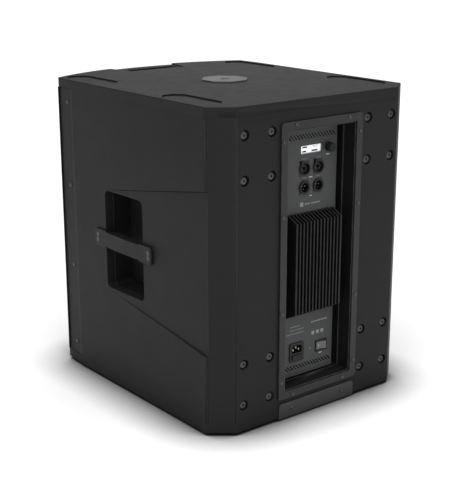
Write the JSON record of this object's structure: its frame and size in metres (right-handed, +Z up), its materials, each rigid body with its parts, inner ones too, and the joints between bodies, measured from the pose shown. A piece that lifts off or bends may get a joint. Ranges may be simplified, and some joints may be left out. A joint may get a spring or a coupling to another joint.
{
  "type": "powered subwoofer",
  "caption": "Active bass-reflex loudspeaker cabinet with bowed grille, rear amplifier bay with heat sink and sockets, side bar handles, castor points and pole flange.",
  "frame": {"origin": "on the floor under the middle of the overall box, at the underside of the rubber feet", "axes": "+Z up, +Y out of the rear wall that carries the amplifier, -Y out of the grille, +X out of the left-hand side seen from the front"},
  "size_m": [0.497, 0.5922, 0.6126],
  "materials": {
    "cabinet_paint": "black textured polyurethane paint over birch plywood",
    "raw_wood": "bare birch plywood inside the cabinet",
    "grille_steel": "satin black powder coat on perforated sheet",
    "foam": "open-cell black foam",
    "black_screw": "black zinc",
    "flange_alloy": "cast and machined, satin",
    "cup_plastic": "grained black",
    "bar_plastic": "satin black, glass-filled",
    "foot_rubber": "matt",
    "zinc": "bright zinc",
    "kick_steel": "satin black powder coat",
    "frame_paint": "fine-textured graphite powder coat",
    "tub_paint": "satin black",
    "panel_paint": "fine-textured graphite powder coat",
    "sink_anodised": "black anodised extrusion",
    "bezel_plastic": "gloss black",
    "display": "white backlit display, lit",
    "nickel": "nickel plated",
    "knob_rubber": "soft-touch black",
    "socket_plastic": "satin black",
    "pin_metal": "plated contacts",
    "fuse_glass": "glass tube",
    "rocker_plastic": "satin black",
    "led_green": "green lens, lit",
    "board_green": "solder mask",
    "component_black": "sleeved components",
    "basket_paint": "black powder coat",
    "motor_steel": "plated steel",
    "ferrite": "dark ferrite",
    "coil_copper": "copper wire on a resin former",
    "spider_cloth": "resin-doped cloth",
    "cone_paper": "black pressed paper",
    "surround_cloth": "treated pleated cloth",
    "wire_red": "insulated wire"
  },
  "bodies": {
    "cabinet": {"top_panel": "cabinet_paint", "bottom_panel": "cabinet_paint", "side_panel_left": "cabinet_paint", "side_panel_right": "cabinet_paint", "corner_panel_left": "cabinet_paint", "corner_panel_right": "cabinet_paint", "rear_panel": "cabinet_paint", "front_baffle": "cabinet_paint", "port_shelf": "raw_wood", "window_brace": "raw_wood", "grille": "grille_steel", "grille_foam": "foam", "grille_screws": "black_screw", "pole_flange": "flange_alloy", "wood_screws": "black_screw", "handle_cup_left": "cup_plastic", "handle_cup_right": "cup_plastic", "handle_bar_left": "bar_plastic", "handle_bar_right": "bar_plastic", "feet": "foot_rubber", "castor_screws": "black_screw", "castor_nuts": "zinc", "kick_plate": "kick_steel", "amp_frame": "frame_paint", "frame_screws": "black_screw", "amp_tub": "tub_paint", "control_panel": "panel_paint", "heat_sink": "sink_anodised", "display_bezel": "bezel_plastic", "display_screen": "display", "encoder_body": "nickel", "combo_socket_a": "socket_plastic", "combo_socket_b": "socket_plastic", "xlr_output_a": "socket_plastic", "xlr_output_b": "socket_plastic", "xlr_pins": "pin_metal", "socket_screws": "black_screw", "mains_inlet": "socket_plastic", "inlet_pins": "pin_metal", "rocker_frame": "socket_plastic", "status_led": "led_green", "amp_board": "board_green", "board_parts": "component_black", "driver_basket": "basket_paint", "motor_plates": "motor_steel", "magnet": "ferrite", "spider": "spider_cloth", "surround": "surround_cloth", "driver_screws": "black_screw", "speaker_wire": "wire_red"},
    "encoder_push_body": {"encoder_shaft": "nickel"},
    "encoder_knob_body": {"encoder_knob": "knob_rubber"},
    "latch_a_body": {"combo_latch_a": "socket_plastic"},
    "latch_b_body": {"combo_latch_b": "socket_plastic"},
    "fuse_drawer_body": {"fuse_drawer": "socket_plastic", "fuse": "fuse_glass"},
    "rocker_body": {"power_rocker": "rocker_plastic"},
    "cone_body": {"voice_coil": "coil_copper", "cone": "cone_paper", "dust_cap": "cone_paper"}
  },
  "joints": [
    {"name": "encoder_push", "type": "slide", "parent": "cabinet", "child": "encoder_push_body", "axis": [0, -1, 0], "range_m": [0, 0.0008], "stiffness_N_per_m": 4000, "springref_m": -0.0003},
    {"name": "encoder_turn", "type": "hinge", "parent": "encoder_push_body", "child": "encoder_knob_body", "pos_m": [-0.041, 0.2629, 0.51], "axis": [0, 1, 0], "continuous": true},
    {"name": "latch_a_press", "type": "slide", "parent": "cabinet", "child": "latch_a_body", "axis": [0, -1, 0], "range_m": [0, 0.0018], "stiffness_N_per_m": 1500, "springref_m": -0.0005},
    {"name": "latch_b_press", "type": "slide", "parent": "cabinet", "child": "latch_b_body", "axis": [0, -1, 0], "range_m": [0, 0.0018], "stiffness_N_per_m": 1500, "springref_m": -0.0005},
    {"name": "fuse_drawer_slide", "type": "slide", "parent": "cabinet", "child": "fuse_drawer_body", "axis": [0, 1, 0], "range_m": [0, 0.018]},
    {"name": "power_rocker_tilt", "type": "hinge", "parent": "cabinet", "child": "rocker_body", "pos_m": [-0.0345, 0.2599, 0.116], "axis": [0, 0, 1], "range_deg": [0, 22]},
    {"name": "cone_excursion", "type": "slide", "parent": "cabinet", "child": "cone_body", "axis": [0, -1, 0], "range_m": [-0.008, 0.008], "stiffness_N_per_m": 4000, "deforming": ["surround", "spider"]}
  ]
}
